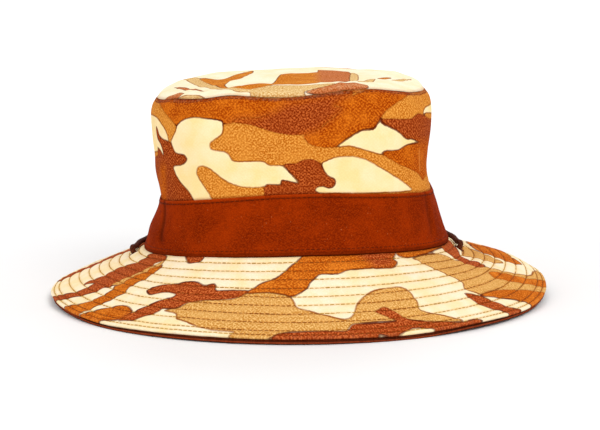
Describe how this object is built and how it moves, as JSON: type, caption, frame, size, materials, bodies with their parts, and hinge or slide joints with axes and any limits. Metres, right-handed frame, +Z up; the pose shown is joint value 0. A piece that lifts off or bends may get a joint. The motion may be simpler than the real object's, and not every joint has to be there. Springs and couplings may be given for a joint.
{
  "type": "boonie hat",
  "caption": "Wide-brim bush hat with a stitched cloth brim, soft crown, contrasting hat band, sweatband, and a chin cord with a press-button cord lock tucked inside the crown.",
  "frame": {"origin": "centre of the head opening, on the mean plane of the seam between crown and brim", "axes": "+Z up through the crown's tip, -Y towards the front of the hat, +X to the right as seen from the front; left and right in node names are as seen from the front"},
  "size_m": [0.2951, 0.295, 0.1322],
  "materials": {
    "camo_twill": "cotton twill, printed",
    "lining_twill": "cotton twill, dyed",
    "band_twill": "cotton twill, dyed",
    "interlining": "stiffened non-woven",
    "sweatband_cloth": "plain cotton tape",
    "seam_tape": "woven tape",
    "label_cloth": "satin ribbon, blank",
    "brim_thread": "sewing thread",
    "band_thread": "sewing thread",
    "cord": "braided cord",
    "lock_plastic": "moulded, fine texture",
    "spring_steel": "spring wire"
  },
  "bodies": {
    "hat": {"crown_tip": "camo_twill", "crown_front_panel": "camo_twill", "crown_back_panel": "camo_twill", "crown_tip_seam_tape": "seam_tape", "left_side_seam_tape": "seam_tape", "right_side_seam_tape": "seam_tape", "crown_tip_stitching": "band_thread", "left_side_seam_stitching": "brim_thread", "right_side_seam_stitching": "brim_thread", "hat_band": "band_twill", "hat_band_upper_stitching": "band_thread", "hat_band_lower_stitching": "band_thread", "sweatband": "sweatband_cloth", "sweatband_stitching": "band_thread", "size_label": "label_cloth", "brim_upper_cloth": "camo_twill", "brim_interlining": "interlining", "brim_lower_cloth": "lining_twill", "brim_needle_thread": "brim_thread", "brim_bobbin_thread": "brim_thread", "left_cord_hole_stitching": "band_thread", "right_cord_hole_stitching": "band_thread", "chin_cord": "cord", "cord_end_knot": "cord"},
    "cord_lock": {"cord_lock_barrel": "lock_plastic", "cord_lock_spring": "spring_steel"},
    "cord_lock_button": {"cord_lock_plunger": "lock_plastic"}
  },
  "joints": [
    {"name": "cord_lock_slide", "type": "slide", "parent": "hat", "child": "cord_lock", "axis": [0, 0, 1], "range_m": [0, 0.04]},
    {"name": "cord_lock_press", "type": "slide", "parent": "cord_lock", "child": "cord_lock_button", "axis": [-1, 0, 0], "range_m": [0, 0.003], "stiffness_N_per_m": 900, "springref_m": -0.001, "deforming": ["cord_lock_spring"]}
  ]
}
